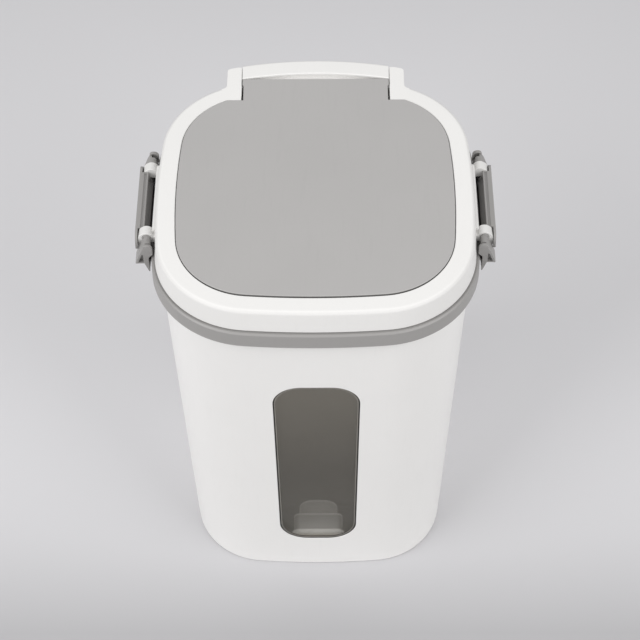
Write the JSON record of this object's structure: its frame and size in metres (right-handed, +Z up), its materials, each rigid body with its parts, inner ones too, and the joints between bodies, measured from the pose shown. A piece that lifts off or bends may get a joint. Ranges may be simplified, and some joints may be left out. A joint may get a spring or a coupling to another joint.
{
  "type": "rice bin with flip lid",
  "caption": "Tapered rounded-square rice bin with a smoked front window, grey collar, side latches and a hinged flip lid.",
  "frame": {"origin": "on the floor at the tub's vertical axis, on the flat pad in the middle of the underside", "axes": "+Z up, -Y to the front with the window, +Y to the hinge, +X to the bin's left side as it faces the user (the viewer's right)"},
  "size_m": [0.2774, 0.2733, 0.371],
  "materials": {
    "white_plastic": "satin moulded polypropylene",
    "warm_grey_plastic": "fine matt grain",
    "grey_plastic": "satin moulded plastic",
    "smoked_pane": "clear smoked plastic",
    "clear_cup": "frosted translucent plastic",
    "dark_rubber": "matt",
    "seal_silicone": "matt silicone",
    "pin_steel": "drawn wire",
    "pack_paper": "white non-woven paper"
  },
  "bodies": {
    "bin": {"body_shell": "white_plastic", "window_pane": "smoked_pane", "window_gasket": "dark_rubber", "collar_ring": "grey_plastic", "lid_frame": "white_plastic", "lid_seal": "seal_silicone", "hinge_pin_left": "pin_steel", "hinge_pin_right": "pin_steel", "foot_pad_front_left": "dark_rubber", "foot_pad_front_right": "dark_rubber", "foot_pad_back_left": "dark_rubber", "foot_pad_back_right": "dark_rubber"},
    "flip_lid": {"flip_lid_base": "white_plastic", "flip_lid_panel": "warm_grey_plastic", "flip_lid_seal": "seal_silicone", "desiccant_tray": "white_plastic", "desiccant_pack": "pack_paper"},
    "desiccant_cover": {"desiccant_cover": "warm_grey_plastic"},
    "latch_left": {"latch_left": "grey_plastic"},
    "latch_right": {"latch_right": "grey_plastic"},
    "measuring_cup": {"measuring_cup": "clear_cup"}
  },
  "joints": [
    {"name": "flip_lid_hinge", "type": "hinge", "parent": "bin", "child": "flip_lid", "pos_m": [0, 0.131, 0.3623], "axis": [-1, 0, 0], "range_deg": [0, 105]},
    {"name": "latch_left_hinge", "type": "hinge", "parent": "bin", "child": "latch_left", "pos_m": [-0.1294, 0, 0.3588], "axis": [0, 1, 0], "range_deg": [0, 100]},
    {"name": "latch_right_hinge", "type": "hinge", "parent": "bin", "child": "latch_right", "pos_m": [0.1294, 0, 0.3588], "axis": [0, -1, 0], "range_deg": [0, 100]},
    {"name": "desiccant_cover_twist", "type": "hinge", "parent": "flip_lid", "child": "desiccant_cover", "pos_m": [0, 0, 0.351], "axis": [0, 0, 1], "range_deg": [0, 45]},
    {"name": "cup_lift", "type": "slide", "parent": "bin", "child": "measuring_cup", "axis": [0, 0, 1], "range_m": [0, 0.2]}
  ]
}
